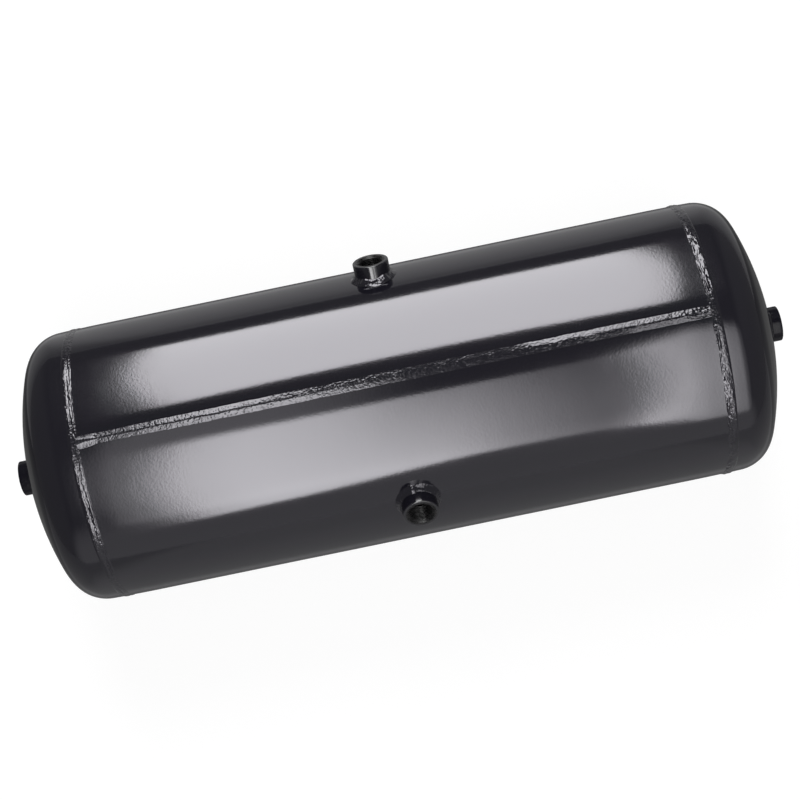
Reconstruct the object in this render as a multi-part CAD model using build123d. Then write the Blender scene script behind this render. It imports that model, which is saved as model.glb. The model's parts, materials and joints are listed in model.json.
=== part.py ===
from build123d import *
import os
from math import acos, asin, atan2, degrees, sin, sqrt

# A 30 litre compressed-air reservoir, welded from sheet steel.  A rolled shell is
# closed by one long seam, a dished head is pushed into each end as far as the step
# in its rim and welded all round, and four threaded bosses are welded in as ports.
#
# Sizes are in millimetres.  +X runs along the vessel's axis, +Z goes from the axis
# up through the long seam, and the origin is on the axis, half way between the
# two girth welds.

# Vessel
vessel_diameter = 246.0         # over the shell's outer face
shell_wall = 2.5
weld_pitch = 548.0              # from the middle of one girth weld to the other

# Dished heads
head_wall = 3.0
head_flange = 14.5              # straight part, from the middle of the girth weld
knuckle_radius = 30.0           # to the outer face
crown_radius = 276.0            # to the outer face

# Stepped rim of a head, which reaches into the shell and backs the girth weld
lap_length = 12.0               # inside the shell's plain end
lap_clearance = 0.1             # between the lap and the shell, on the radius
lap_lead = 1.0                  # bevel that guides the rim into the shell
step_bend_radius = 1.0          # inside face of the step's first bend
step_root_radius = 1.5          # outside face of the step's second bend

# Weld beads
girth_bead_width = 10.0
girth_bead_height = 1.0
seam_bead_width = 9.5
seam_bead_height = 1.0
seam_gap_root = 1.5             # between the sheet's edges, at the inner face
seam_gap_face = 4.0             # between the sheet's edges, at the outer face
root_bead_width = 4.0
root_bead_height = 0.5
root_bead_stop = 2.0            # the root bead ends this far short of the laps
boss_weld_leg = 5.0
boss_weld_land = 0.4            # blunt edge that is left at each toe of a fillet

# Port bosses, turned from bar, with M22 x 1.5 threads
boss_diameter = 31.5
boss_edge = 0.9                 # bevel round the outer face
shell_boss_height = 15.0        # above the shell's outer face
head_boss_height = 12.7         # above the head's pole
port_angle = 55.0               # from the long seam round to each shell port
spigot_diameter = 26.0          # goes through the wall
spigot_clearance = 0.2          # between spigot and hole, on the radius
spigot_reach = 1.0              # past the inner face of the wall
thread_diameter = 22.0
thread_pitch = 1.5
mouth_diameter = 24.0           # 45 degree countersink at the outer face

# Worked out from the sizes above
vessel_radius = vessel_diameter / 2
bore_radius = vessel_radius - shell_wall
lap_radius = bore_radius - lap_clearance
weld_x = weld_pitch / 2
boss_radius = boss_diameter / 2
spigot_radius = spigot_diameter / 2
hole_radius = spigot_radius + spigot_clearance
tapping_radius = (thread_diameter - 1.082532 * thread_pitch) / 2    # ISO 68-1 minor diameter
mouth_depth = mouth_diameter / 2 - tapping_radius

# The step is two equal and opposite bends that meet at a slant
first_bend = head_wall + step_bend_radius
step_drop = vessel_radius - lap_radius
step_turn = acos(1 - step_drop / (first_bend + step_root_radius))
step_length = (first_bend + step_root_radius) * sin(step_turn)
shell_end = weld_x - step_length / 2
shoulder_x = weld_x + step_length / 2
rim_x = shell_end - lap_length

# The knuckle and the crown meet on the line through both their centres
knuckle_x = weld_x + head_flange
knuckle_centre_radius = vessel_radius - knuckle_radius
crown_x = knuckle_x - sqrt((crown_radius - knuckle_radius) ** 2 - knuckle_centre_radius ** 2)
crown_turn = degrees(atan2(knuckle_centre_radius, knuckle_x - crown_x))
pole_x = crown_x + crown_radius


def step_arcs(inset):
    """The two bends of a head's step, on the face that lies inset below the outer one."""
    turn = degrees(step_turn)
    second = CenterArc((shell_end, lap_radius + step_root_radius), step_root_radius + inset, 270, turn)
    first = CenterArc((shoulder_x, vessel_radius - first_bend), first_bend - inset, 90, turn)
    return [second, first]


def head_face(inset):
    """One face of a head from the lap's end to the pole, as a chain in the XY plane."""
    lap = lap_radius - inset
    rim = vessel_radius - inset
    lap_start = rim_x if inset else rim_x + lap_lead
    knuckle = CenterArc(
        (knuckle_x, knuckle_centre_radius), knuckle_radius - inset, crown_turn, 90 - crown_turn
    )
    crown = CenterArc((crown_x, 0), crown_radius - inset, 0, crown_turn)
    return [
        Line((lap_start, lap), (shell_end, lap)),
        *step_arcs(inset),
        Line((shoulder_x, rim), (knuckle_x, rim)),
        knuckle,
        crown,
    ]


def make_head():
    """The right-hand head: lap, step, flange, knuckle and crown, with the port's hole."""
    section = make_face([
        *head_face(0),
        Line((pole_x, 0), (pole_x - head_wall, 0)),
        *head_face(head_wall),
        Line((rim_x, lap_radius - head_wall), (rim_x, lap_radius - lap_lead)),
        Line((rim_x, lap_radius - lap_lead), (rim_x + lap_lead, lap_radius)),
    ])
    return revolve(section, Axis.X) - end_axis * Cylinder(hole_radius, 4 * head_wall)


def sheet_edges():
    """The rolled sheet's two bevelled edges, which face each other across the seam."""
    face_height = sqrt(vessel_radius ** 2 - (seam_gap_face / 2) ** 2)
    root_height = sqrt(bore_radius ** 2 - (seam_gap_root / 2) ** 2)
    return [
        Line((side * seam_gap_root / 2, root_height), (side * seam_gap_face / 2, face_height))
        for side in (1, -1)
    ]


def seam_arc(radius, gap, across):
    """The arc that crosses the seam's gap at this radius, or else the rest of the circle."""
    half_gap = degrees(asin(gap / 2 / radius))
    if across:
        return CenterArc((0, 0), radius, 90 - half_gap, 2 * half_gap)
    return CenterArc((0, 0), radius, 90 + half_gap, 360 - 2 * half_gap)


def seam_section(across):
    """Section of the seam's groove, or of the rolled sheet that leaves it open."""
    outer = seam_arc(vessel_radius, seam_gap_face, across)
    inner = seam_arc(bore_radius, seam_gap_root, across)
    return Plane.YZ * make_face([outer, inner, *sheet_edges()])


def bead_circle(width, height, base_radius, side):
    """Circle through a bead's toes and crest; side is 1 outside the wall and -1 inside it."""
    toe_height = sqrt(base_radius ** 2 - (width / 2) ** 2)
    crest_height = base_radius + side * height
    sagitta = side * (crest_height - toe_height)
    radius = ((width / 2) ** 2 + sagitta ** 2) / (2 * sagitta)
    return Pos(0, crest_height - side * radius) * Circle(radius)


def make_shell():
    """The rolled sheet, open along the seam, with a hole for each shell port."""
    shell = extrude(seam_section(across=False), shell_end, both=True)
    for port in shell_ports:
        shell -= port * Cylinder(hole_radius, 6 * shell_wall)
    return shell


def make_seam_weld():
    """The seam's filled groove, its cap between the girth welds and its root bead."""
    cap = bead_circle(seam_bead_width, seam_bead_height, vessel_radius, 1) - Circle(vessel_radius)
    root = bead_circle(root_bead_width, root_bead_height, bore_radius, -1) & Circle(bore_radius)
    filling = extrude(seam_section(across=True), shell_end, both=True)
    cap_bead = extrude(Plane.YZ * cap, weld_x - girth_bead_width / 2, both=True)
    root_bead = extrude(Plane.YZ * root, rim_x - root_bead_stop, both=True)
    return filling + cap_bead + root_bead


def make_girth_weld():
    """The right-hand girth weld, which fills the groove over the step and caps both rims."""
    toe = girth_bead_width / 2
    left_toe = (weld_x - toe, vessel_radius)
    right_toe = (weld_x + toe, vessel_radius)
    section = make_face([
        ThreePointArc(left_toe, (weld_x, vessel_radius + girth_bead_height), right_toe),
        Line(left_toe, (shell_end, vessel_radius)),
        Line((shell_end, vessel_radius), (shell_end, lap_radius)),
        *step_arcs(0),
        Line((shoulder_x, vessel_radius), right_toe),
    ])
    return revolve(section, Axis.X)


def make_boss(height, wall, vessel):
    """A boss on the Z axis, coped to the vessel; the wall's outer face is at Z = 0."""
    inner_end = wall + spigot_reach
    coping = boss_radius / 2
    collar = Pos(0, 0, (height - coping) / 2) * Cylinder(boss_radius, height + coping)
    collar = chamfer(collar.edges().sort_by(Axis.Z)[-1], boss_edge) - vessel
    spigot_length = inner_end + height / 2
    spigot = Pos(0, 0, spigot_length / 2 - inner_end) * Cylinder(spigot_radius, spigot_length)
    bore = Cylinder(tapping_radius, 4 * (height + inner_end))
    mouth = Pos(0, 0, height - mouth_depth / 2) * Cone(tapping_radius, mouth_diameter / 2, mouth_depth)
    return collar + spigot - bore - mouth


def make_saddle_weld():
    """A fillet on the Z axis that follows the joint between a boss and the shell."""
    tube = Cylinder(boss_radius + boss_weld_leg, vessel_radius) - Cylinder(boss_radius, vessel_radius)
    skin = Cylinder(vessel_radius + boss_weld_leg, vessel_radius) - Cylinder(vessel_radius, vessel_radius)
    ring = tube & vessel_axis * skin
    crest = ring.edges().sort_by(SortBy.LENGTH)[-2:].sort_by(Axis.Z)[-1]
    return chamfer(crest, boss_weld_leg - boss_weld_land)


def make_crown_weld():
    """The fillet round the right-hand head's boss."""
    outer = boss_radius + boss_weld_leg
    inner_x = crown_x + sqrt(crown_radius ** 2 - boss_radius ** 2)
    outer_x = crown_x + sqrt(crown_radius ** 2 - outer ** 2)
    middle = boss_radius + boss_weld_leg / 2
    middle_x = crown_x + sqrt(crown_radius ** 2 - middle ** 2)
    section = make_face([
        Line((inner_x, boss_radius), (inner_x + boss_weld_leg, boss_radius)),
        Line((inner_x + boss_weld_leg, boss_radius), (outer_x + boss_weld_land, outer)),
        Line((outer_x + boss_weld_land, outer), (outer_x, outer)),
        ThreePointArc((outer_x, outer), (middle_x, middle), (inner_x, boss_radius)),
    ])
    return revolve(section, Axis.X)


# Where things go.  A port's own Z axis points out of the vessel.
end_axis = Pos(pole_x, 0, 0) * Rot(0, 90, 0)
left_end = Rot(0, 0, 180)
shell_ports = [Rot(side * port_angle, 0, 0) * Pos(0, 0, vessel_radius) for side in (1, -1)]
near_port, far_port = shell_ports
vessel_axis = Pos(0, 0, -vessel_radius) * Rot(0, 90, 0)

shell_body = vessel_axis * Cylinder(vessel_radius, vessel_radius)
crown_body = Pos(0, 0, -crown_radius) * Sphere(crown_radius)

head = make_head()
girth_weld = make_girth_weld()
shell_boss = make_boss(shell_boss_height, shell_wall, shell_body)
head_boss = end_axis * make_boss(head_boss_height, head_wall, crown_body)
saddle_weld = make_saddle_weld()
crown_weld = make_crown_weld()

nodes = {
    "shell": make_shell(),
    "head_left": left_end * head,
    "head_right": head,
    "longitudinal_weld": make_seam_weld(),
    "girth_weld_left": left_end * girth_weld,
    "girth_weld_right": girth_weld,
    "port_boss_near": near_port * shell_boss,
    "port_boss_far": far_port * shell_boss,
    "port_boss_left": left_end * head_boss,
    "port_boss_right": head_boss,
    "boss_weld_near": near_port * saddle_weld,
    "boss_weld_far": far_port * saddle_weld,
    "boss_weld_left": left_end * crown_weld,
    "boss_weld_right": crown_weld,
}

os.makedirs("parts", exist_ok=True)
for name, solid in nodes.items():
    export_step(solid, f"parts/{name}.step")
    print(f"{name:18s} {solid.volume:12.1f} mm3")
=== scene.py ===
# %% [markdown]
# # A welded air reservoir
#
# The real object is a closed steel vessel for compressed air.  A sheet is rolled into a
# cylinder and closed by one long weld, a dished head is pushed into each end and welded
# all round, and four threaded bosses are welded in as ports.  Then the whole vessel is
# sprayed gloss black.
#
# The engineering model gives every piece its place and size.  It is loaded first, as a
# frame, and each piece made here is laid over the solid that it stands for: the same
# outline, with the ripples of the welds, the turns of the threads and the slight
# unevenness of rolled and pressed sheet that a smooth solid leaves out.

# %% Load the frame
import json
import math

import bpy
import numpy as np
from mathutils import Matrix, Vector, noise


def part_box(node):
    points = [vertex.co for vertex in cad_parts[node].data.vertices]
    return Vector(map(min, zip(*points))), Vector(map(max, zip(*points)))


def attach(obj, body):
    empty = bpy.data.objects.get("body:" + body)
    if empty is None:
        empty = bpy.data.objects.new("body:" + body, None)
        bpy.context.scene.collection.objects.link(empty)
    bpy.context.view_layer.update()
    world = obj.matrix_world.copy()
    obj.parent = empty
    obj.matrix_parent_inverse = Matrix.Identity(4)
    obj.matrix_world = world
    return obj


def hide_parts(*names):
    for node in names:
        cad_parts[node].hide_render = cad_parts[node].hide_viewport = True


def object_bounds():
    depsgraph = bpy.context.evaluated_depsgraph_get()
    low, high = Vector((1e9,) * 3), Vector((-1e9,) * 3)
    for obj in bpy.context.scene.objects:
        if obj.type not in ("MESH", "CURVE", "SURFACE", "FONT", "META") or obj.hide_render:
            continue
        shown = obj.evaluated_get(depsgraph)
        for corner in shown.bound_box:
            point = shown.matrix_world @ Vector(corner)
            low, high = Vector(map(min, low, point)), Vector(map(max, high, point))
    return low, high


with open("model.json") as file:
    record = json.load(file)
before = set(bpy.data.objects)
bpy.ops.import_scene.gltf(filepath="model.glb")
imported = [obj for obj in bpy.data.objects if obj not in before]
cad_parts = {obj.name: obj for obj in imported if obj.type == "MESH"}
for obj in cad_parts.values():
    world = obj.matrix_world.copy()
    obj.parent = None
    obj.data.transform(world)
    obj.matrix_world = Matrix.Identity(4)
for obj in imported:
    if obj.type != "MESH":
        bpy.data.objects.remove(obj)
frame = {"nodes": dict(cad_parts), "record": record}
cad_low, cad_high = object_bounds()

print("vessel, in metres:", [round(high - low, 4) for low, high in zip(cad_low, cad_high)])

# %% [markdown]
# ## Sizes
#
# A length that another piece depends on is read from the frame, so the dressed vessel
# still fits when the model changes.  The frame gives boxes, which is enough for the shell
# and the welds.  A port stands at an angle, so its reach is measured along its own axis.
# The few sizes that no box shows, such as the radii of a head, are written here once.

# %% Read the main sizes
millimetre = 0.001
one_turn = 2 * math.pi
shell_low, shell_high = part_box("shell")
girth_low, girth_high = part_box("girth_weld_right")
seam_low, seam_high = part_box("longitudinal_weld")
vessel_radius = (shell_high.y - shell_low.y) / 2
round_length = one_turn * vessel_radius
shell_end = shell_high.x
rim_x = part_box("head_right")[0].x
weld_x = (girth_low.x + girth_high.x) / 2
girth_width = girth_high.x - girth_low.x
girth_height = girth_high.z - vessel_radius
seam_width = seam_high.y - seam_low.y
seam_height = seam_high.z - vessel_radius

shell_wall = 2.5 * millimetre
head_wall = 3.0 * millimetre
lap_gap = 0.1 * millimetre
lap_radius = vessel_radius - shell_wall - lap_gap
head_flange = 14.5 * millimetre
knuckle_radius = 30.0 * millimetre
crown_radius = 276.0 * millimetre
knuckle_x = weld_x + head_flange
knuckle_centre = vessel_radius - knuckle_radius
crown_x = knuckle_x - math.sqrt((crown_radius - knuckle_radius) ** 2 - knuckle_centre ** 2)
crown_turn = math.atan2(knuckle_centre, knuckle_x - crown_x)
print(f"radius {vessel_radius * 1000:.1f} mm, girth welds at {weld_x * 1000:.1f} mm either side")


# %% Read the ports
def reach_along(node, axis):
    """How far a solid reaches along an axis through the origin, in metres."""
    return max(vertex.co.dot(axis) for vertex in frame["nodes"][node].data.vertices)


class Port:
    """One threaded boss: its axis, its outer face and its tapping radius, from the frame."""

    def __init__(self, side, wall, surface_radius):
        mount = next(m for m in frame["record"]["mounts"] if m["name"] == side + "_port")
        self.side = side
        self.boss = "port_boss_" + side
        self.weld = "boss_weld_" + side
        self.axis = Vector(mount["axis"]).normalized()
        self.on_shell = abs(self.axis.x) < 0.5
        self.tapping_radius = mount["dims"]["r_mm"] * millimetre
        self.face = reach_along(self.boss, self.axis)
        self.wall = wall
        self.surface_radius = surface_radius
        self.surface = vessel_radius if self.on_shell else crown_x + crown_radius
        self.turn = math.atan2(self.axis.y, self.axis.z)

    def place(self):
        """Matrix from the port's own frame, with Z out of the vessel, to the vessel's."""
        across = Vector((1, 0, 0)) if self.on_shell else Vector((0, 1, 0))
        other = self.axis.cross(across)
        turned = Matrix((across, other, self.axis)).transposed().to_4x4()
        return Matrix.Translation(self.axis * self.surface) @ turned

    def drop(self, along, around):
        """How far the vessel's outer face lies below the port's foot, at a place beside it."""
        away = around if self.on_shell else math.hypot(along, around)
        return self.surface_radius - math.sqrt(self.surface_radius ** 2 - away ** 2)


ports = [
    Port("near", shell_wall, vessel_radius),
    Port("far", shell_wall, vessel_radius),
    Port("left", head_wall, crown_radius),
    Port("right", head_wall, crown_radius),
]
shell_ports = [port for port in ports if port.on_shell]
boss_low, boss_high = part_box("port_boss_right")
boss_radius = (boss_high.y - boss_low.y) / 2
hole_radius = 13.2 * millimetre
for port in ports:
    print(f"{port.side} port: outer face {port.face * 1000:.1f} mm from the centre")


# %% [markdown]
# ## Helpers for meshes
#
# Nearly every piece here is a section carried round a ring: a head, a girth weld, a boss
# and the fillet at its foot.  Blender's screw and spin tools could do that, but they give
# the same section all the way round.  A grid of points worked out in code can change from
# one step to the next, and that is what makes a weld look laid by hand.

# %% Join a grid of points into a mesh
def add_mesh(name, points, faces, material, sharp_angle=35):
    """A smooth-shaded mesh object that rides on the vessel."""
    mesh = bpy.data.meshes.new(name)
    mesh.from_pydata([tuple(point) for point in points], [], faces)
    mesh.validate()
    mesh.shade_smooth()
    mesh.set_sharp_from_angle(angle=math.radians(sharp_angle))
    piece = bpy.data.objects.new(name, mesh)
    bpy.context.scene.collection.objects.link(piece)
    mesh.materials.append(material)
    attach(piece, "root")
    return piece


def add_second_material(piece, material, polygons):
    """Give some faces of a piece another material than the first."""
    piece.data.materials.append(material)
    for polygon in polygons:
        polygon.material_index = 1


def ring_faces(rings, points_in_ring, closed_along=True):
    """Faces of a grid that closes on itself round each ring, and from last ring to first."""
    faces = []
    last = rings if closed_along else rings - 1
    for i in range(last):
        here, there = i * points_in_ring, (i + 1) % rings * points_in_ring
        for j in range(points_in_ring):
            after = (j + 1) % points_in_ring
            faces.append((here + j, there + j, there + after, here + after))
    return faces


def add_rings(name, rings, material, inside_out, sharp_angle=35):
    """A closed mesh from rings of points, each joined to the next and the last to the first."""
    faces = ring_faces(len(rings), len(rings[0]))
    if inside_out:
        faces = [face[::-1] for face in faces]
    points = [point for ring in rings for point in ring]
    return add_mesh(name, points, faces, material, sharp_angle)


print("faces on a tube of 3 rings of 4 points:", len(ring_faces(3, 4, closed_along=False)))


# %% Draw arcs and straight lines
def arc(centre, radius, start, end, steps):
    """Points on an arc in the plane of axis and radius; angles in radians from the axis."""
    angles = np.linspace(start, end, steps + 1)
    return [(centre[0] + radius * math.cos(a), centre[1] + radius * math.sin(a)) for a in angles]


def straight(start, end, steps):
    """Points on a straight line, without its last one, which starts the next stretch."""
    return [tuple(np.add(start, np.subtract(end, start) * i / steps)) for i in range(steps)]


quarter = arc((0, 0), 1, 0, math.pi / 2, 2)
print("a quarter arc in two steps:", [(round(x, 2), round(y, 2)) for x, y in quarter])

# %% [markdown]
# ## Unevenness
#
# Nothing here is perfectly round.  A rolled sheet is a little flat beside its seam, each
# weld pulls the wall in as it cools, and a boss leaves a shallow dish about its foot.
# The amounts are tenths of a millimetre, too small to see in the outline, but gloss paint
# shows them at once, because they bend the reflections.  The shell, the heads and the welds
# between them share one function for it, so that they still meet.

# %% Smooth steps, bells and waves
def ease(share):
    """A smooth step from nothing at 0 to one at 1."""
    share = min(1.0, max(0.0, share))
    return share * share * (3 - 2 * share)


def bell(away, width):
    """One in the middle, falling smoothly to nothing a few widths away from it."""
    return np.exp(-((away / width) ** 2))


def waves(position, lengths, heights, seed):
    """A few sine waves of given lengths and heights, each with its own fixed phase."""
    phases = np.random.default_rng(seed).uniform(0, one_turn, len(lengths))
    return sum(
        height * np.sin(one_turn * position / length + phase)
        for length, height, phase in zip(lengths, heights, phases)
    )


print(f"a step at a quarter: {ease(0.25):.2f}, a bell at half its width: {bell(0.5, 1):.2f}")

# %% Uneven skin
girth_pull = 0.22 * millimetre
girth_pull_width = 15 * millimetre
seam_flat = 0.10 * millimetre
seam_flat_width = 16 * millimetre
port_dish = 0.15 * millimetre
port_dish_width = 26 * millimetre
# Waves along the sheet, from the rolls.  They swell and fade twice round the vessel.
rolled_lengths = [0.181, 0.097, 0.043]
rolled_heights = [3e-5, 1.2e-5, 2e-6]
rolled_phase = 0.6
# Waves round the vessel: how many there are to a turn, and their heights.
pressed_counts = [3, 5, 8, 13]
pressed_heights = [5e-5, 3e-5, 1.2e-5, 5e-6]


def skin_offset(x, turn):
    """Radial distance between the true cylinder and the wall as made, in metres."""
    around = turn * vessel_radius
    inboard = np.maximum(0, weld_x - np.abs(x))
    pull = -girth_pull * bell(inboard, girth_pull_width)
    wrapped = (around + round_length / 2) % round_length - round_length / 2
    flat = -seam_flat * bell(wrapped, seam_flat_width)
    dish = 0
    for port in shell_ports:
        away = np.hypot(x, around - port.turn * vessel_radius)
        dish = dish - port_dish * bell(away, port_dish_width)
    rolled = waves(x, rolled_lengths, rolled_heights, 11)
    lengths = [round_length / count for count in pressed_counts]
    pressed = waves(around, lengths, pressed_heights, 12)
    return pull + flat + dish + rolled * np.cos(turn * 2 + rolled_phase) + pressed


print(f"the wall is pulled in by {girth_pull * 1000:.2f} mm at the girth welds")

# %% [markdown]
# ## Paint
#
# The vessel is sprayed with one coat of gloss black over bare steel, and the coat is never
# flat: it dries with the fine dimples called orange peel.  Over a weld it lies on top of
# the weld's own scale, and everywhere a little dust settles on it.  Each of these effects
# is needed by several materials, so each is a node group with its own inputs.  A dimple is
# far too small for mesh, so it is a bump height, given in real metres, and the bump node
# keeps its distance at one.

# %% Helpers for node trees
class Tree:
    """Short ways to add and join nodes in one node tree."""

    def __init__(self, tree):
        self.tree = tree
        self.here = tree.nodes.new("ShaderNodeTexCoord").outputs["Object"]

    def put(self, socket, value):
        """Link a socket to another node's output, or set it to a plain value."""
        if isinstance(value, bpy.types.NodeSocket):
            self.tree.links.new(value, socket)
        else:
            socket.default_value = value

    def add(self, kind, **settings):
        """A new node; the settings are its own properties, not its sockets."""
        node = self.tree.nodes.new("ShaderNode" + kind)
        for label, value in settings.items():
            setattr(node, label, value)
        return node

    def math(self, operation, first, second=0.0):
        """The result of one math node, from sockets or plain values."""
        node = self.add("Math", operation=operation)
        self.put(node.inputs[0], first)
        self.put(node.inputs[1], second)
        return node.outputs[0]

    def noise(self, size, detail=2.0, roughness=0.5, place=None):
        """Noise whose blobs are about as long as size, in metres; its middle value is 0.5."""
        node = self.add("TexNoise")
        self.put(node.inputs["Vector"], place or self.here)
        self.put(node.inputs["Scale"], self.math("DIVIDE", 1.0, size))
        self.put(node.inputs["Detail"], detail)
        self.put(node.inputs["Roughness"], roughness)
        return node.outputs["Fac"]

    def stretch(self, value, low, high, new_low=0.0, new_high=1.0):
        """Map one range smoothly onto another."""
        node = self.add("MapRange", interpolation_type="SMOOTHSTEP")
        self.put(node.inputs["Value"], value)
        limits = (low, high, new_low, new_high)
        for label, limit in zip(("From Min", "From Max", "To Min", "To Max"), limits):
            self.put(node.inputs[label], limit)
        return node.outputs["Result"]

    def blend(self, share, first, second):
        """Mix two colours."""
        node = self.add("Mix", data_type="RGBA")
        self.put(node.inputs["Factor"], share)
        self.put(node.inputs[6], first)
        self.put(node.inputs[7], second)
        return node.outputs[2]

    def use(self, group, **values):
        """Place a node group, with its own values."""
        node = self.add("Group", node_tree=group)
        for label, value in values.items():
            self.put(node.inputs[label.replace("_", " ")], value)
        return node


print("helpers on a tree:", [name for name in vars(Tree) if not name.startswith("_")])


# %% Orange peel, as a node group
def new_group(name, inputs, outputs):
    """An empty shader node group whose sockets are all plain numbers, and its two end nodes."""
    group = bpy.data.node_groups.new(name, "ShaderNodeTree")
    for label, value in inputs.items():
        socket = group.interface.new_socket(label, in_out="INPUT", socket_type="NodeSocketFloat")
        socket.default_value = value
    for label in outputs:
        group.interface.new_socket(label, in_out="OUTPUT", socket_type="NodeSocketFloat")
    return group, group.nodes.new("NodeGroupInput"), group.nodes.new("NodeGroupOutput")


def make_orange_peel():
    """Height of the dimples in sprayed gloss paint, and a slow sag between them."""
    sag_size = 0.011
    group, start, end = new_group(
        "Orange peel", {"Dimple": 0.0020, "Depth": 1.8e-5, "Sag": 1.2e-5}, ["Height"]
    )
    tree = Tree(group)
    dimple = tree.noise(start.outputs["Dimple"], detail=1.0)
    sag = tree.noise(sag_size, detail=0.0)
    height = tree.math("MULTIPLY", dimple, start.outputs["Depth"])
    slow = tree.math("MULTIPLY", sag, start.outputs["Sag"])
    tree.put(end.inputs["Height"], tree.math("ADD", height, slow))
    return group


orange_peel = make_orange_peel()
print("node group:", orange_peel.name)


# %% Weld scale, as a node group
def make_weld_scale():
    """Height of the fine crust on a weld, thick in some patches and thinner between them."""
    patch_size = 0.006
    thinnest = 0.3
    group, start, end = new_group("Weld scale", {"Grain": 0.0011, "Depth": 1.0e-4}, ["Height"])
    tree = Tree(group)
    cells = tree.add("TexVoronoi", feature="SMOOTH_F1")
    tree.put(cells.inputs["Vector"], tree.here)
    tree.put(cells.inputs["Scale"], tree.math("DIVIDE", 1.0, start.outputs["Grain"]))
    rough = tree.noise(start.outputs["Grain"], detail=3.0, roughness=0.6)
    mixed = tree.math("ADD", tree.math("MULTIPLY", cells.outputs["Distance"], 0.5), rough)
    patches = tree.stretch(tree.noise(patch_size, detail=1.0), 0.4, 0.62)
    share = tree.math("ADD", tree.math("MULTIPLY", patches, 1 - thinnest), thinnest)
    height = tree.math("MULTIPLY", mixed, tree.math("MULTIPLY", start.outputs["Depth"], share))
    tree.put(end.inputs["Height"], height)
    return group


weld_scale = make_weld_scale()
print("node group:", weld_scale.name)


# %% Dust and handling, as a node group
def make_dust():
    """Mask of thin dust, and a slow change of gloss where the vessel was handled and wiped."""
    speck_size, veil_size, wipe_size = 0.0013, 0.055, 0.035
    group, start, end = new_group(
        "Dust and handling", {"Amount": 0.5, "Gloss change": 0.03}, ["Dust", "Dull"]
    )
    tree = Tree(group)
    specks = tree.stretch(tree.noise(speck_size, detail=2.0), 0.66, 0.78)
    veil = tree.stretch(tree.noise(veil_size, detail=3.0), 0.35, 0.75)
    both = tree.math("MULTIPLY", specks, veil)
    tree.put(end.inputs["Dust"], tree.math("MULTIPLY", both, start.outputs["Amount"]))
    wiped = tree.noise(wipe_size, detail=4.0, roughness=0.6)
    centred = tree.math("SUBTRACT", wiped, 0.5)
    tree.put(end.inputs["Dull"], tree.math("MULTIPLY", centred, start.outputs["Gloss change"]))
    return group


dust_and_handling = make_dust()
print("node group:", dust_and_handling.name)

# %% [markdown]
# ## Gloss black on the sheet
#
# Gloss paint is a clear binder over its pigment, so a plain Principled shader does it: a
# very dark base, low roughness, and a strong specular level for the wet look.  The coat
# layer is left out, because its normal would ignore the dimples.  On the sheet the paint
# also follows the faint grain of the steel, which runs round the vessel.

# %% Helpers for the materials
# The paint is near black.  Its blue cast, and the blue tint of its reflections, are painted light
# that stands in for the bluish light on the vessel.
paint_colour = (0.0066, 0.0061, 0.0104, 1)
painted_light_tint = (0.965, 0.945, 1.0, 1)
dust_colour = (0.19, 0.185, 0.18, 1)
dust_roughness = 0.3
surface_ior = 1.55


def start_material(name, roughness, specular, metallic=0.0):
    """A material with a Principled shader, whose plain values are set on the shader itself."""
    material = bpy.data.materials.new(name)
    material.use_nodes = True
    tree = Tree(material.node_tree)
    shader = material.node_tree.nodes["Principled BSDF"]
    shader.inputs["Roughness"].default_value = roughness
    shader.inputs["IOR"].default_value = surface_ior
    shader.inputs["Specular IOR Level"].default_value = specular
    shader.inputs["Metallic"].default_value = metallic
    return material, tree, shader


def add_bump(tree, shader, height):
    """Turn a height in metres into the shader's normal."""
    bump = tree.add("Bump")
    bump.inputs["Strength"].default_value = 1.0
    bump.inputs["Distance"].default_value = 1.0
    tree.put(bump.inputs["Height"], height)
    tree.put(shader.inputs["Normal"], bump.outputs["Normal"])


def add_dust(tree, shader, amount, gloss_change):
    """Black paint under a little dust, with its roughness varied about the shader's own."""
    roughness = shader.inputs["Roughness"].default_value
    dust = tree.use(dust_and_handling, Amount=amount, Gloss_change=gloss_change)
    colour = tree.blend(dust.outputs["Dust"], paint_colour, dust_colour)
    tree.put(shader.inputs["Base Color"], colour)
    dull = tree.math("ADD", dust.outputs["Dull"], roughness)
    dusty = tree.math("MULTIPLY", dust.outputs["Dust"], dust_roughness)
    tree.put(shader.inputs["Roughness"], tree.math("ADD", dull, dusty))


print("paint colour:", paint_colour[:3])


# %% Paint the sheet
def make_vessel_paint():
    """Paint on the shell and the heads, over a grain that runs round the vessel."""
    grain_size, grain_depth = 0.0034, 0.3e-5
    material, tree, shader = start_material("gloss_black_on_sheet", 0.1, 1.0)
    shader.inputs["Specular Tint"].default_value = painted_light_tint
    add_dust(tree, shader, 0.12, 0.04)
    squeeze = tree.add("Mapping")
    squeeze.inputs["Scale"].default_value = (1.0, 0.3, 0.3)
    tree.put(squeeze.inputs["Vector"], tree.here)
    grain = tree.noise(grain_size, detail=2.0, place=squeeze.outputs["Vector"])
    peel = tree.use(orange_peel)
    lines = tree.math("MULTIPLY", grain, grain_depth)
    add_bump(tree, shader, tree.math("ADD", peel.outputs["Height"], lines))
    return material


vessel_paint = make_vessel_paint()
print("material:", vessel_paint.name)

# %% [markdown]
# ## Gloss black on the welds and the bosses
#
# The welds and the bosses carry the same paint on a rougher ground.  On a weld it lies over
# the scale, and on a boss over a turned face with a few nicks.  On the bosses of the heads a
# lower specular level darkens the reflections, as painted shade.  One material with a changing
# gloss could serve them all, but a gloss that is the same all over a piece stays on its shader,
# so each ground has a material of its own, made by the same two functions.

# %% Paint the welds and the bosses
ground_roughness = 0.13


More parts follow.
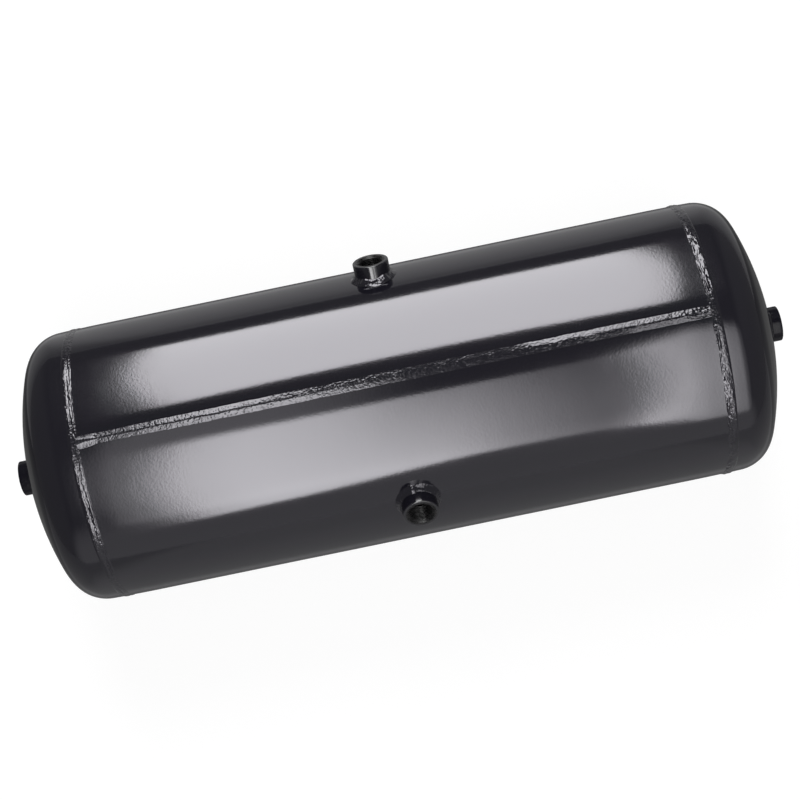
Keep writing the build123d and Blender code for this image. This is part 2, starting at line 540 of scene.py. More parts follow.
def make_weld_paint(name, grain, depth):
    """Black paint over the scale of a weld."""
    material, tree, shader = start_material(name, ground_roughness, 1.0)
    shader.inputs["Specular Tint"].default_value = painted_light_tint
    scale = tree.use(weld_scale, Grain=grain, Depth=depth)
    add_dust(tree, shader, 0.25, 0.06)
    peel = tree.use(orange_peel, Depth=1e-5)
    height = tree.math("ADD", scale.outputs["Height"], peel.outputs["Height"])
    add_bump(tree, shader, height)
    return material


def make_boss_paint(name, specular):
    """Black paint on a turned boss, with a few nicks from handling."""
    nick_size, nick_depth = 0.0028, 4e-5
    material, tree, shader = start_material(name, ground_roughness, specular)
    add_dust(tree, shader, 0.2, 0.08)
    peel = tree.use(orange_peel, Dimple=0.0014, Depth=2.4e-5)
    nicks = tree.stretch(tree.noise(nick_size, detail=3.0), 0.62, 0.74, 0.0, -nick_depth)
    add_bump(tree, shader, tree.math("ADD", peel.outputs["Height"], nicks))
    return material


weld_paint = make_weld_paint("gloss_black_on_weld", 0.0009, 5.5e-5)
seam_paint = make_weld_paint("gloss_black_on_seam", 0.0008, 6e-5)
shell_boss_paint = make_boss_paint("gloss_black_on_turned_steel", 1.0)
# Painted shade: the heads' bosses get a lower specular level, which darkens their reflections.
shaded_boss_paint = make_boss_paint("shaded_black_on_turned_steel", 0.28)
for paint in (weld_paint, seam_paint, shell_boss_paint, shaded_boss_paint):
    print("material:", paint.name)

# %% [markdown]
# ## Steel without paint
#
# The ports are plugged while the vessel is sprayed, so the threads have only the dark
# phosphate film that the tapped bosses came with, and the inside is bare, oiled sheet.  Each
# is one Principled shader with noise in its colour, its roughness and its bump.  A scan of
# real steel would look as good, but noise has no seams and follows any size.

# %% Finish the threads and the inside
film_colours = (0.004, 0.004, 0.0045, 1), (0.02, 0.019, 0.02, 1)
sheet_colours = (0.07, 0.07, 0.075, 1), (0.14, 0.135, 0.13, 1)
rust_colour = (0.11, 0.05, 0.025, 1)


def make_thread_finish():
    """Tapped steel under a dark phosphate film that holds oil."""
    stain_size, oil_size, mark_size, mark_depth = 0.003, 0.0015, 0.0004, 1.2e-5
    material, tree, shader = start_material("phosphated_thread", 0.3, 0.35)
    stain = tree.stretch(tree.noise(stain_size, detail=3.0), 0.35, 0.65)
    tree.put(shader.inputs["Base Color"], tree.blend(stain, *film_colours))
    oily = tree.stretch(tree.noise(oil_size), 0.3, 0.7, 0.2, 0.42)
    tree.put(shader.inputs["Roughness"], oily)
    add_bump(tree, shader, tree.math("MULTIPLY", tree.noise(mark_size, detail=2.0), mark_depth))
    return material


def make_inside_steel():
    """Unpainted rolled sheet inside the vessel: mill scale, a film of oil, a trace of rust."""
    scale_size, rust_size, pit_size, pit_depth = 0.012, 0.02, 0.001, 2e-5
    material, tree, shader = start_material("oiled_sheet_inside", 0.5, 0.5, metallic=0.6)
    scale = tree.stretch(tree.noise(scale_size, detail=4.0), 0.35, 0.65)
    bare = tree.blend(scale, *sheet_colours)
    spots = tree.noise(rust_size, detail=5.0, roughness=0.65)
    rust = tree.stretch(spots, 0.6, 0.75, 0.0, 0.6)
    tree.put(shader.inputs["Base Color"], tree.blend(rust, bare, rust_colour))
    tree.put(shader.inputs["Roughness"], tree.stretch(scale, 0.0, 1.0, 0.42, 0.62))
    add_bump(tree, shader, tree.math("MULTIPLY", tree.noise(pit_size, detail=3.0), pit_depth))
    return material


thread_finish = make_thread_finish()
inside_steel = make_inside_steel()
print("materials:", thread_finish.name, inside_steel.name)

# %% [markdown]
# ## The rolled shell
#
# The shell is a sheet rolled into a cylinder.  A subdivided cylinder would do for the wall,
# but a hole cut by a boolean would leave long thin faces round it, and gloss paint shows
# those as kinks.  So the sheet is laid out flat as a grid of length and turn, a square of
# cells is taken out at each port, and rings of points lead from the square to the round
# hole.  Then the grid is wrapped, and a copy a wall's thickness further in closes it.

# %% Lay out the sheet
cells_along = 136
cells_around = 216
patch_half = 6           # cells from a port's centre to the edge of its patch
patch_rings = 6
along = np.linspace(-shell_end, shell_end, cells_along + 1)
middles = [(cells_along // 2, round(port.turn / one_turn * cells_around)) for port in shell_ports]


def spot(i, j):
    """Number of the point at a place in the grid, which closes on itself round the vessel."""
    return i * cells_around + j % cells_around


def in_patch(i, j):
    """Whether a cell lies in one of the squares that are taken out at the ports."""
    for middle_i, middle_j in middles:
        away = (j - middle_j + patch_half) % cells_around
        if abs(i + 0.5 - middle_i) < patch_half and away < 2 * patch_half:
            return True
    return False


sheet_points = [(x, one_turn * j / cells_around) for x in along for j in range(cells_around)]
sheet_faces = [
    (spot(i, j), spot(i + 1, j), spot(i + 1, j + 1), spot(i, j + 1))
    for i in range(cells_along) for j in range(cells_around) if not in_patch(i, j)
]
taken_out = cells_along * cells_around - len(sheet_faces)
print(f"sheet: {len(sheet_faces)} cells, with {taken_out} taken out at the ports")


# %% Lead each patch to its round hole
def patch_rim(middle_along, middle_around):
    """Grid places round the edge of a port's patch, in order, turning from x to turn."""
    side = range(-patch_half, patch_half)
    rim = [(k, -patch_half) for k in side] + [(patch_half, k) for k in side]
    rim += [(-k, patch_half) for k in side] + [(-patch_half, -k) for k in side]
    return [(middle_along + i, middle_around + j) for i, j in rim]


def hole_point(port, x, turn):
    """The place on the edge of a port's hole that faces a place on the edge of its patch."""
    a = math.atan2((turn - port.turn) * vessel_radius, x)
    across, around = hole_radius * math.cos(a), hole_radius * math.sin(a)
    return across, port.turn + math.asin(around / vessel_radius)


def lead_to_hole(port, middle):
    """Rings of points and faces from the edge of a patch to the hole in its middle."""
    rim = patch_rim(*middle)
    ring = [spot(i, j) for i, j in rim]
    start = [(along[i], one_turn * j / cells_around) for i, j in rim]
    hole = [hole_point(port, *place) for place in start]
    for step in range(1, patch_rings + 1):
        share = step / patch_rings
        inner = range(len(sheet_points), len(sheet_points) + len(rim))
        for edge, target in zip(start, hole):
            sheet_points.append(tuple(np.add(edge, np.subtract(target, edge) * share)))
        for k in range(len(rim)):
            after = (k + 1) % len(rim)
            sheet_faces.append((ring[k], ring[after], inner[after], inner[k]))
        ring = inner


for port, middle in zip(shell_ports, middles):
    lead_to_hole(port, middle)
print(f"sheet with its two holes: {len(sheet_faces)} faces")


# %% Wrap the sheet and give it a thickness
def wrap(point, depth):
    """A place on the sheet, this far below its outer face, in the vessel's frame."""
    x, turn = point
    radius = vessel_radius + skin_offset(x, turn) - depth
    return (x, radius * math.sin(turn), radius * math.cos(turn))


def drop_unused(points, faces):
    """Leave out the points that no face uses."""
    used = sorted({corner for face in faces for corner in face})
    number = {old: new for new, old in enumerate(used)}
    return [points[old] for old in used], [tuple(number[c] for c in face) for face in faces]


def thicken(faces, count):
    """The faces, their copies on the other side, and walls along every open edge."""
    inner = [tuple(corner + count for corner in reversed(face)) for face in faces]
    edges = {(face[k], face[(k + 1) % 4]) for face in faces for k in range(4)}
    walls = [(b, a, a + count, b + count) for a, b in edges if (b, a) not in edges]
    return inner, sorted(walls)


flat_points, flat_faces = drop_unused(sheet_points, sheet_faces)
inner_faces, wall_faces = thicken(flat_faces, len(flat_points))
shell_points = [wrap(p, 0) for p in flat_points] + [wrap(p, shell_wall) for p in flat_points]
shell = add_mesh("rolled_shell", shell_points, flat_faces + inner_faces + wall_faces, vessel_paint)
add_second_material(shell, inside_steel, shell.data.polygons[len(flat_faces):])
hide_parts("shell")
print(f"shell: {len(flat_faces)} faces outside, {len(wall_faces)} along the open edges")

# %% [markdown]
# ## The dished heads
#
# A head is pressed from a disc: a shallow crown, a tight knuckle and a straight flange,
# whose rim is stepped in so that it slips inside the shell.  It is a section carried round
# the axis.  A lathe or a Screw modifier would give a perfect one, but the flange has to be
# pulled in where the weld shrank it, just as the shell is, so that the two still meet.

# %% Draw the section of a head
first_bend = 4.0 * millimetre       # outer face of the step's bend below the flange
second_bend = 1.5 * millimetre      # outer face of the bend above the lap
step_drop = vessel_radius - lap_radius
step_turn = math.acos(1 - step_drop / (first_bend + second_bend))
# The flange starts as far past the middle of the weld as the shell stops short of it.
shoulder_x = weld_x + (weld_x - shell_end)


def step_line(inset, steps):
    """The two bends of the step, from the lap out to the flange, on one face of the head."""
    low = arc(
        (shell_end, lap_radius + second_bend), second_bend + inset,
        -math.pi / 2, -math.pi / 2 + step_turn, steps,
    )
    high = arc(
        (shoulder_x, vessel_radius - first_bend), first_bend - inset,
        math.pi / 2 + step_turn, math.pi / 2, steps,
    )
    return low + high[1:]


def head_line(inset, steps):
    """One face of a head from the lap to the port's hole, as (x, radius)."""
    flange = vessel_radius - inset
    lap = [(rim_x, lap_radius - inset)]
    start, end = (shoulder_x, flange), (knuckle_x, flange)
    straight_part = straight(start, end, steps)[1:]
    middle, radius = (knuckle_x, knuckle_centre), knuckle_radius - inset
    knuckle = arc(middle, radius, math.pi / 2, crown_turn, 3 * steps)
    hole_turn = math.asin(hole_radius / (crown_radius - inset))
    crown = arc((crown_x, 0), crown_radius - inset, crown_turn, hole_turn, 4 * steps)[1:]
    return lap + step_line(inset, steps // 2) + straight_part + knuckle + crown


outer_line = head_line(0, 10)
inner_line = head_line(head_wall, 6)
print(f"a head's section has {len(outer_line)} points outside and {len(inner_line)} inside")

# %% Carry the section round
flange_lean = 0.60 * millimetre     # how far the flange has already closed in at the knuckle
lean_reach = 2 * (knuckle_x - weld_x)


def head_ring(x, radius, side, turns):
    """One point of the section carried round, uneven at the rim and true at the pole."""
    share = min(1.0, (radius / vessel_radius) ** 4)
    lean = flange_lean * ease((x - weld_x) / lean_reach)
    offset = (skin_offset(side * min(x, knuckle_x), turns) - lean) * share
    return [
        (side * x, (radius + o) * math.sin(turn), (radius + o) * math.cos(turn))
        for turn, o in zip(turns, offset)
    ]


def make_head(name, side, node):
    """A head; side is 1 for the right-hand end and -1 for the left-hand one."""
    section = outer_line + inner_line[::-1]
    turns = np.linspace(0, one_turn, cells_around, endpoint=False)
    rings = [head_ring(x, radius, side, turns) for x, radius in section]
    head = add_rings(name, rings, vessel_paint, inside_out=side < 0)
    outside = (len(outer_line) - 1) * cells_around
    add_second_material(head, inside_steel, head.data.polygons[outside:])
    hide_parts(node)
    return head


for side, word in ((1, "right"), (-1, "left")):
    make_head("dished_head_" + word, side, "head_" + word)
print(f"heads: crown radius {crown_radius * 1000:.0f} mm, knuckle {knuckle_radius * 1000:.0f} mm")

# %% [markdown]
# ## Welds
#
# A weld bead is a row of small frozen pools.  Each pool can leave a crescent across the
# bead, a couple of millimetres from the last, and the bead's height and width wander.  A
# plain swept section with a bump texture would look printed, so the crescents and the lumps
# are in the mesh: the section is worked out again at every step along the joint.  All the
# welds share the helpers here, and each kind has a function of its own for its height.

# %% Helpers for weld beads
pit_depth = 0.40


def lumps(along, across, long_size, wide_size, seed):
    """Seeded unevenness, mostly between -0.6 and 0.6, at a place along and across a weld."""
    return noise.noise((along / long_size, across / wide_size, seed * 17.3))


def crescents(along, across, pitch, bow, seed):
    """The frozen edges of the pools: steps that bow back from the bead's middle."""
    drift = 0.5 * lumps(along, 0, 6 * pitch, 1, seed)
    phase = (along / pitch + bow * across ** 2 + drift) % 1.0
    return phase ** 0.6 * (1 - phase) * 2.0


def wander(along, size, seed):
    """How far a weld's toe strays from its line, between -1 and 1."""
    return 1.2 * lumps(along, 0, size, 1, seed) + 0.5 * lumps(along, 1, size / 4, 1, seed)


def pits(along, across, long_size, wide_size, level, seed):
    """Small sharp pits: how far the lumps rise past a level, times the depth."""
    return pit_depth * max(0.0, lumps(along, across, long_size, wide_size, seed) - level)


def closing_share(turn):
    """One nearly all the way round, and nothing where a ring closes on itself."""
    return abs(math.sin(turn / 2)) ** 0.25


highest = max(crescents(k / 20, 0, 1, 0, 1) for k in range(20))
print(f"a crescent stands up to {highest:.2f} of its named height")

# %% [markdown]
# ## The long seam
#
# The seam was laid from outside along the top of the shell.  Its cap is roof-shaped: two
# gritty flanks with a narrow sunken ridge where the pools froze last.  It is lower along its
# middle, where the ridge also leans to one side.  At its left-hand end it was run out on to
# the edge and splayed like a fishtail, and at the other end it stops in a small heap.
# Inside, the weld shows as a thin root bead.  Rows of places and amounts say all this, and
# the amounts between two places are blended, as with the keys of a curve.

# %% Where the long seam runs
seam_overlap = 2.0 * millimetre     # how far the seam runs under each girth weld
seam_half = weld_x - girth_width / 2 + seam_overlap
cap_spread = 0.4 * millimetre       # how far a full cap reaches past the solid's, each side
tail_length = 17 * millimetre
tail_split = 0.9 * millimetre       # from the middle to the ridge of each half of the tail
tail_widths = {1: 4.0 * millimetre, -1: 5.6 * millimetre}   # beyond each ridge, far and near
neck_place = 1.15 * tail_length     # from the left-hand end to where the bead is pinched
neck_in = 0.7 * millimetre          # how much each half of the bead is pinched there
drift_at_start = -0.8 * millimetre
toe_stray = 0.3 * millimetre


def tail_share(x):
    """How far the seam has splayed: 0 along its length and 1 at its left-hand end."""
    return max(0.0, 1 - (x + seam_half) / tail_length) ** 0.8


def neck(x):
    """One where the bead is pinched, just past the tail, falling off more slowly beyond it."""
    away = (x + seam_half - neck_place) / tail_length
    return bell(away, 0.6 if away < 0 else 2.6)


def seam_ridge(x, side):
    """Distance of a ridge from the middle, and the width of the roof outside it."""
    tail = tail_share(x)
    full = seam_width / 2 + cap_spread - neck_in * neck(x)
    return tail_split * tail, full * (1 - tail) + tail_widths[side] * tail


def seam_line(x):
    """How far the bead has wandered off the joint, towards the far side."""
    return drift_at_start * (1 - x / seam_half) / 2


def seam_toe(x, side):
    """Where the seam's cap meets the wall, on the far side (1) or the near side (-1)."""
    split, width = seam_ridge(x, side)
    return seam_line(x) + side * (split + width + toe_stray * wander(x, 0.012, 22 + side))


for place, x in (("left-hand end", -seam_half), ("middle", 0.0)):
    print(f"seam at its {place}: {(seam_toe(x, 1) - seam_toe(x, -1)) * 1000:.1f} mm wide")

# %% Say how the cap changes along the seam
# A row for each place along X: the cap's height as a share of the full one, how far its
# ridge lies towards the far side, in millimetres, and how much of the height the far and
# the near flank lose before their toes.
cap_keys = [
    (-0.280, 1.08, 0.0, 1.00, 1.00),
    (-0.135, 1.05, 0.0, 1.00, 1.00),
    (-0.112, 1.00, 0.0, 0.72, 1.00),
    (-0.085, 1.00, 0.1, 0.50, 1.00),
    (-0.058, 0.88, 0.9, 0.30, 1.00),
    (-0.030, 0.82, 0.8, 0.30, 0.95),
    (0.000, 0.60, 0.3, 0.50, 0.85),
    (0.020, 0.45, 0.0, 0.60, 0.60),
    (0.100, 0.45, 0.0, 0.60, 0.60),
    (0.128, 0.76, 0.0, 1.00, 0.40),
    (0.195, 0.78, 0.0, 1.00, 0.45),
    (0.215, 0.90, 0.0, 1.00, 1.00),
    (0.280, 0.90, 0.0, 1.00, 1.00),
]
cap_places, cap_heights, cap_leans, far_falls, near_falls = zip(*cap_keys)
cap_falls = {1: far_falls, -1: near_falls}
# The amounts of coarse and fine grit at places along X.
grit_keys = [(-0.24, 0.40, 0.4), (-0.17, 0.45, 0.5), (-0.11, 0.85, 1.5), (-0.05, 1.30, 2.4)]
grit_places, coarse_grit, fine_grit = zip(*grit_keys)
print(f"the cap is lowest at x = {cap_places[cap_heights.index(min(cap_heights))] * 1000:.0f} mm")

# %% Shape the cap of the seam
crest_rise = 0.12 * millimetre      # how far a full cap stands above the solid's
ridge_level = 0.93                  # the share of the roof's height at which its ridge is flat
heap_length = 26 * millimetre
neck_drop = 0.32
tail_rise = 0.46


def seam_grit(x, y):
    """The grain of the cap's flanks and the pits in them, as shares of its height."""
    grit = 0.055 * lumps(x, y, 0.0026, 0.0015, 4) * np.interp(x, grit_places, coarse_grit)
    grit += 0.03 * lumps(x, y, 0.0013, 0.0009, 5) * np.interp(x, grit_places, fine_grit)
    grit -= pits(x, y, 0.0014, 0.0011, 0.23, 6)
    return grit * (1 - 0.8 * tail_share(x))


def seam_top(x, y):
    """Height of the seam's cap above the wall, in metres."""
    lean = millimetre * np.interp(x, cap_places, cap_leans)
    strayed = 0.5 * lumps(x, 0, 0.016, 1, 23) + 0.12 * lumps(x, 1, 0.002, 1, 23)
    strayed *= millimetre * (1 - tail_share(x))
    middle = seam_line(x) + lean + strayed
    side = 1 if y > middle else -1
    split, width = seam_ridge(x, side)
    away = abs(abs(y - middle) - split) / (width - side * lean)
    roof = min(ridge_level, 1 - np.interp(x, cap_places, cap_falls[side]) * min(1.0, away))
    sunk = (0.10 + 0.30 * lumps(x, 0, 0.0018, 1, 24)) * bell(away, 0.09)
    heap = max(0.0, 1 - (seam_half - x) / heap_length)
    clots = 0.62 * heap * lumps(x, y, 0.0034, 0.0013, 25)
    foot = min(1.0, 5 * roof, 0.3 + 3 * (1 - min(1.0, away)))
    height = np.interp(x, cap_places, cap_heights) * (1 + 0.14 * lumps(x, 0, 0.02, 1, 26))
    height *= (1 - 0.3 * heap) * (1 - neck_drop * neck(x)) * (1 + tail_rise * tail_share(x) ** 1.7)
    share = height * (roof - sunk + foot * (seam_grit(x, y) + clots))
    return (seam_height + crest_rise) * max(0.0, share)


tops = [seam_top(x, seam_line(x)) for x in np.linspace(-seam_half, seam_half, 50)]
print(f"along its middle the cap is {min(tops) * 1000:.2f} to {max(tops) * 1000:.2f} mm high")

# %% Close the section of the seam
crest_limit = cad_high.z - 0.02 * millimetre
cap_points = 27
toe_step = 0.04 * millimetre        # the toe stands this much outside the cap's edge
toe_depth = 0.05 * millimetre
groove_half = 2.2 * millimetre      # where the bead's sides turn in under the cap
groove_depth = 0.6 * millimetre
root_half = rim_x - 2.0 * millimetre    # the root bead stops just short of the two laps
root_reach = 2.0 * millimetre
root_rise = 0.5 * millimetre
root_sink = 0.2 * millimetre        # how far it stays back where a lap lies under it
root_film = 0.03 * millimetre
root_pitch = 1.7 * millimetre


def seam_ring(x):
    """The closed section of the seam weld at one place: cap, groove, root bead and back."""
    pull = skin_offset(x, 0.0)
    near_toe, far_toe = seam_toe(x, -1), seam_toe(x, 1)
    cap = [(near_toe, -toe_depth)]
    for y in np.linspace(near_toe + toe_step, far_toe - toe_step, cap_points):
        cap.append((y, seam_top(x, y)))
    cap.append((far_toe, -toe_depth))
    ring = []
    for y, top in cap:
        base = math.sqrt(vessel_radius ** 2 - y ** 2) + pull
        ring.append((x, y, min(crest_limit, base + top)))
    bore = vessel_radius - shell_wall
    inside, ripple = -root_sink, 0
    if abs(x) < root_half:
        inside, ripple = root_rise, 0.12 * crescents(x, 0, root_pitch, 0.5, 31)
    ring.append((x, groove_half, vessel_radius + pull - groove_depth))
    for share in (1.0, 0.55, 0.0, -0.55, -1.0):
        drop = inside * (1 - share ** 2) * (1 + ripple) + root_film
        ring.append((x, root_reach * share, bore + pull - drop))
    ring.append((x, -groove_half, vessel_radius + pull - groove_depth))
    return ring


print(f"a section of the seam has {len(seam_ring(0.0))} points")

# %% Lay the long seam
seam_step = 0.4 * millimetre


def close_ends(rings, size):
    """Faces of a tube of rings, with a flat face over each end."""
    faces = ring_faces(rings, size, closed_along=False)
    start = tuple(range(size))
    end = tuple((rings - 1) * size + k for k in reversed(range(size)))
    return faces + [start, end]


stations = np.arange(-seam_half, seam_half + seam_step / 2, seam_step)
seam_rings = [seam_ring(x) for x in stations]
seam_points = [point for ring in seam_rings for point in ring]
seam_faces = close_ends(len(seam_rings), len(seam_rings[0]))
seam = add_mesh("long_seam_weld", seam_points, seam_faces, seam_paint, sharp_angle=45)
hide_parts("longitudinal_weld")
print(f"long seam: {len(seam_rings)} sections, {seam_half * 2000:.0f} mm")

# %% [markdown]
# ## The girth welds
#
# Each head was welded in while the vessel turned under the torch, so the crescents run
# round it.  The bead is broader and coarser than the seam's, with long lumps, and the
# toes wander, more on the shell's side than on the head's.  The right-hand weld is one pass,
# and the left-hand one mostly two, the second half over the first.

# %% Shapes of a bead
def laid_once(across, crown_place, flatness):
    """Shape of a bead laid in one pass, highest at one place from its middle to the head."""
    if across < crown_place:
        return 1 - ((crown_place - across) / (crown_place + 1)) ** flatness
    return 1 - ((across - crown_place) / (1 - crown_place)) ** 2.5


def laid_twice(across):
    """Shape of a bead whose second pass lies half over the first, like two low steps."""
    first = 0.60 * ease((across + 1) / 0.25) - 0.10 * ease((across + 0.75) / 0.55)
    second = 0.48 * ease((across + 0.2) / 0.35)
    return (first + second) * (1 - max(0.0, (across - 0.15) / 0.85) ** 2.5)


print("two passes, from the shell to the head:",
      [round(laid_twice(across), 2) for across in (-1, -0.5, 0, 0.5, 1)])

# %% Height of a girth weld
girth_steps = 1500
girth_pitch = round_length / 360
# For each side: how long the bead's lumps are, how high they and the clots stand, how high
# the bead stands without them, and how far its two toes reach.
girth_shapes = {
    1: {
        "run_length": 7 * millimetre, "run_height": 0.62, "clot_height": 0.30,
        "crown": 0.68, "shell_reach": 0.80, "head_reach": 0.98,
    },
    -1: {
        "run_length": 16 * millimetre, "run_height": 0.26, "clot_height": 0.20,
        "crown": 0.56, "shell_reach": 0.94, "head_reach": 0.80,
    },
}
clotted_reach = 12 * millimetre     # how far from the seam the clots are larger
run_out = 0.9                       # how much of its height the seam's tail adds to that weld
run_out_reach = 9 * millimetre
# The left-hand weld is laid twice, except for a stretch on the near side of the seam.
single_places = [-0.042, -0.034, -0.007, -0.001]
single_shares = [0, 1, 1, 0]


def girth_top(along, x, across, side, beside, seed):
    """Height of a girth weld above the wall, in metres."""
    shape = girth_shapes[side]
    if side > 0:
        roof = laid_once(across, 0.42, 3.2)
    else:
        single = np.interp(beside, single_places, single_shares)
        roof = single * laid_once(across, 0.5, 2.0) + (1 - single) * laid_twice(across)
        roof *= 1 + run_out * bell(beside, run_out_reach)
    lively = 0.3 + 0.7 * min(1.0, max(0.0, 0.5 - across / 0.6))
    pools = 0.06 * crescents(along, across, girth_pitch, 1.1, seed)
    runs = shape["run_height"] * lumps(along, x, shape["run_length"], 0.0019, seed + 1)
    clots = shape["clot_height"] * lumps(along, x, 0.0040, 0.0012, seed + 2)
    clots *= 1 + 1.2 * bell(beside, clotted_reach)
    grit = 0.07 * lumps(along, x, 0.0014, 0.0009, seed + 3)
    grit -= pits(along, x, 0.0016, 0.0011, 0.20, seed + 6)
    foot = min(1.0, 4 * max(0.0, roof))
    share = roof * shape["crown"] + foot * (pools + lively * (runs + clots) + grit)
    return girth_height * max(0.0, share)


print(f"girth welds: a pool every {girth_pitch * 1000:.1f} mm, {girth_height * 1000:.1f} mm high")

# %% Weld the heads in
girth_cap = 27


def girth_ring(side, turn, seed):
    """The closed section of a girth weld at one place round the vessel."""
    along = turn * vessel_radius
    closing = closing_share(turn)
    shape = girth_shapes[side]
    shell_stray = 0.07 * closing * wander(along, 0.011, seed)
    head_stray = 0.04 * closing * wander(along, 0.016, seed + 1)
    shell_toe = girth_width / 2 * (shape["shell_reach"] + shell_stray)
    head_toe = girth_width / 2 * (shape["head_reach"] + head_stray)
    offset = skin_offset(side * weld_x, turn)
    beside = ((turn + math.pi) % one_turn - math.pi) * vessel_radius
    ring = []
    for across in np.linspace(-1, 1, girth_cap):
        x = across * (head_toe if across > 0 else shell_toe)
        top = girth_top(along, x, across, side, beside, seed + 4)
        ring.append((weld_x + x, min(crest_limit, vessel_radius + offset + top)))
    ring += [(x, radius + offset) for x, radius in reversed(step_line(0, 5))]
    return [(side * x, r * math.sin(turn), r * math.cos(turn)) for x, r in ring]


def make_girth_weld(name, side, node, seed):
    """A bead all the way round, on the right-hand side (1) or the left-hand one (-1)."""
    turns = np.linspace(0, one_turn, girth_steps, endpoint=False)
    rings = [girth_ring(side, turn, seed) for turn in turns]
    weld = add_rings(name, rings, weld_paint, inside_out=side > 0, sharp_angle=75)
    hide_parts(node)
    return weld


make_girth_weld("girth_weld_bead_right", 1, "girth_weld_right", 40)
make_girth_weld("girth_weld_bead_left", -1, "girth_weld_left", 60)
print(f"girth welds: {girth_steps} sections each")

# %% [markdown]
# ## The port bosses
#
# A boss is turned from bar and tapped M22 x 1.5.  The thread is the part that catches the
# eye, and a screw modifier could make it, but the thread has to run out cleanly into the
# countersunk mouth.  So the bore is a grid whose radius follows the thread's own triangle
# wave, shifted by the angle, and wherever the countersink is wider the countersink wins.

# %% Draw the section of a boss
thread_pitch = 1.5 * millimetre
thread_depth = 0.812 * millimetre
crest_share = 0.25       # of half a pitch
flank_share = 0.62
mouth_radius = 12.0 * millimetre
entry_bevel = 0.6 * millimetre      # at the bore's inner end
spigot_radius = 13.0 * millimetre
spigot_reach = 1.0 * millimetre
spigot_bevel = 0.4 * millimetre
rim_bevel = 0.9 * millimetre
rows_per_pitch = 12


def thread_radius(z, angle, tapping_radius):
    """Radius of the tapped bore: flat crests, sloped flanks and a narrow root."""
    phase = (z / thread_pitch - angle / one_turn) % 1.0
    away = abs(phase - 0.5) * 2
    flank = min(1.0, max(0.0, (away - crest_share) / flank_share))
    return tapping_radius + thread_depth * flank


def boss_section(port, angle):
    """The section of a boss at one angle, as (radius, z): its bore, and the way back outside."""
    height = port.face - port.surface
    bottom = -(port.wall + spigot_reach)
    rows = round((height - bottom) / thread_pitch * rows_per_pitch)
    bore = []
    for z in np.linspace(bottom, height, rows):
        cone = mouth_radius - (height - z)
        entry = port.tapping_radius + entry_bevel - (z - bottom)
        bore.append((max(cone, entry, thread_radius(z, angle, port.tapping_radius)), z))
    edge = arc((boss_radius - rim_bevel, height - rim_bevel), rim_bevel, math.pi / 2, 0, 5)
    rim = [((mouth_radius + boss_radius - rim_bevel) / 2, height)] + edge
    foot = -port.drop(boss_radius * math.cos(angle), boss_radius * math.sin(angle))
    wall = [(boss_radius, foot + (height - rim_bevel - foot) * k / 6) for k in range(5, -1, -1)]
    spigot = [(spigot_radius, foot), (spigot_radius, bottom + spigot_bevel)]
    return bore, rim + wall + spigot + [(spigot_radius - spigot_bevel, bottom)]


for port in ports:
    print(f"{port.side} boss: {len(boss_section(port, 0.0)[0])} points along its bore")

# %% Turn and tap the bosses
boss_around = 120


def make_boss(port):
    """A boss in the port's own frame, then placed on the vessel."""
    place = port.place()
    rings = []
    for k in range(boss_around):
        angle = one_turn * k / boss_around
        bore, outside = boss_section(port, angle)
        section = bore + outside
        rings.append([
            place @ Vector((r * math.cos(angle), r * math.sin(angle), z)) for r, z in section
        ])
    paint = shell_boss_paint if port.on_shell else shaded_boss_paint
    boss = add_rings("boss_" + port.side, rings, paint, inside_out=True)
    tapped = [face for face in boss.data.polygons if face.index % len(section) < len(bore)]
    add_second_material(boss, thread_finish, tapped)
    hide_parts(port.boss)
    return boss


for port in ports:
    make_boss(port)
print(f"bosses: {len(ports)}, {rows_per_pitch} rows of points to each turn of the thread")

# %% [markdown]
# ## The fillets round the bosses
#
# A fillet weld fills the corner between a boss and the wall.  On the shell the corner
# rises and falls as it goes round, because the wall curves away on two sides, so a torus
# would not fit.  The section is set on the wall at each angle, and the same crescents are
# laid over it, with a heap wherever the welder stopped.

# %% Shape a fillet
fillet_leg = 5.0 * millimetre
fillet_pitch = one_turn * (boss_radius + fillet_leg / 2) / 50
heap_radius = 3.6 * millimetre
heap_climb = 1.3 * millimetre       # how much higher the weld climbs the boss at a heap
fillet_relief = 0.9                 # millimetres that a share of one stands for
fillet_hollow = 0.75                # how far the face is sunk between its two toes, in millimetres
heap_swell = 1.1
stops = {"near": (102,), "far": (243, 303), "left": (200,), "right": (70,)}    # degrees round


def fillet_share(along, across, seed):
    """Height of a fillet's face over its corner, between 0 and about 1."""
    dome = max(0.0, 1 - across ** 2) ** 0.75
    foot = min(1.0, 5 * (1 - abs(across)))
    pools = 0.13 * crescents(along, across, fillet_pitch, 0.7, seed)
    clots = 0.38 * lumps(along, across, 0.0065, 0.9, seed + 5)
    grit = 0.09 * lumps(along, across, 0.0022, 0.5, seed + 1)
    return 0.45 * dome + foot * (pools + clots + grit)


def heap_share(port, angle):
    """One where the welder stopped and the metal heaped up, falling to nothing beside it."""
    away = [angle - math.radians(stop) for stop in stops[port.side]]
    turned = [(turn + math.pi) % one_turn - math.pi for turn in away]
    return max(bell(turn * boss_radius, heap_radius) for turn in turned)


print("heaps where the welder stopped:", sum(len(angles) for angles in stops.values()))

# %% Lay the fillet welds
fillet_steps = 300
fillet_face = 13
fillet_sunk = 0.4 * millimetre      # how far its back lies below the wall
boss_overlap = 0.05 * millimetre
toe_overlap = 0.5 * millimetre


